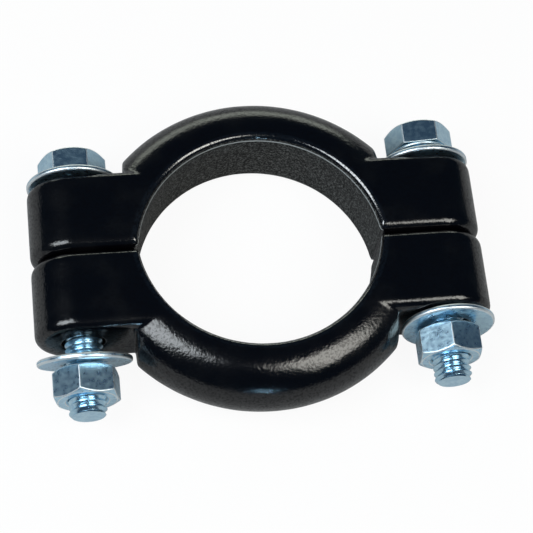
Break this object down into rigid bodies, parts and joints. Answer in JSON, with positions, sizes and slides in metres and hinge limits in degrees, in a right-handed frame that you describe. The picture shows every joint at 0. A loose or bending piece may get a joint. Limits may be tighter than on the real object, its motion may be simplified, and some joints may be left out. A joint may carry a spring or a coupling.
{
  "type": "exhaust pipe clamp",
  "caption": "Two-piece cast clamp for joining exhaust pipes: two half rings with bored lugs, drawn together by bolts, washers and nuts.",
  "frame": {"origin": "middle of the clamp's outline, at the height of the washers' lowest points; the axis of the bore is upright and passes 0.2 mm to its left", "axes": "+Z along the bore axis, out of the front flank; +X from the left lugs to the right lugs; +Y along the bolts, from the nuts to the heads"},
  "size_m": [0.0974, 0.0698, 0.02],
  "materials": {
    "front_half": "semi-gloss black paint on a cast surface",
    "rear_half": "semi-gloss black paint on a cast surface",
    "left_bolt": "bright zinc plate",
    "right_bolt": "bright zinc plate",
    "left_head_washer": "bright zinc plate",
    "right_head_washer": "bright zinc plate",
    "left_nut_washer": "bright zinc plate",
    "right_nut_washer": "bright zinc plate",
    "left_nut": "bright zinc plate",
    "right_nut": "bright zinc plate"
  },
  "bodies": {
    "front": {"front_half": "front_half"},
    "rear": {"rear_half": "rear_half", "left_head_washer": "left_head_washer", "right_head_washer": "right_head_washer"},
    "left_bolt": {"left_bolt": "left_bolt"},
    "right_bolt": {"right_bolt": "right_bolt"},
    "left_nut_washer": {"left_nut_washer": "left_nut_washer"},
    "right_nut_washer": {"right_nut_washer": "right_nut_washer"},
    "left_nut": {"left_nut": "left_nut"},
    "right_nut": {"right_nut": "right_nut"}
  },
  "joints": [
    {"name": "rear_slide", "type": "slide", "parent": "front", "child": "rear", "axis": [0, 1, 0], "range_m": [0, 0.004]},
    {"name": "left_bolt_turn", "type": "hinge", "parent": "rear", "child": "left_bolt", "pos_m": [-0.0386, 0, 0.01001], "axis": [0, 1, 0], "range_deg": [0, 1152]},
    {"name": "right_bolt_turn", "type": "hinge", "parent": "rear", "child": "right_bolt", "pos_m": [0.0382, 0, 0.01001], "axis": [0, 1, 0], "range_deg": [0, 1152]},
    {"name": "left_washer_slide", "type": "slide", "parent": "front", "child": "left_nut_washer", "axis": [0, 1, 0], "range_m": [-0.004, 0.0014]},
    {"name": "right_washer_slide", "type": "slide", "parent": "front", "child": "right_nut_washer", "axis": [0, 1, 0], "range_m": [-0.004, 0]},
    {"name": "left_nut_turn", "type": "hinge", "parent": "left_nut_washer", "child": "left_nut", "pos_m": [-0.0386, -0.025, 0.01001], "axis": [0, 1, 0], "range_deg": [-1152, 403]},
    {"name": "right_nut_turn", "type": "hinge", "parent": "right_nut_washer", "child": "right_nut", "pos_m": [0.0382, -0.022, 0.01001], "axis": [0, 1, 0], "range_deg": [-1152, 0]}
  ],
  "couplings": [
    {"joint": "left_bolt_turn", "follows": "rear_slide", "rad_per_m": 5026.5},
    {"joint": "right_bolt_turn", "follows": "rear_slide", "rad_per_m": 5026.5},
    {"joint": "left_washer_slide", "follows": "left_nut_turn", "m_per_rad": 0.00019894},
    {"joint": "right_washer_slide", "follows": "right_nut_turn", "m_per_rad": 0.00019894}
  ]
}
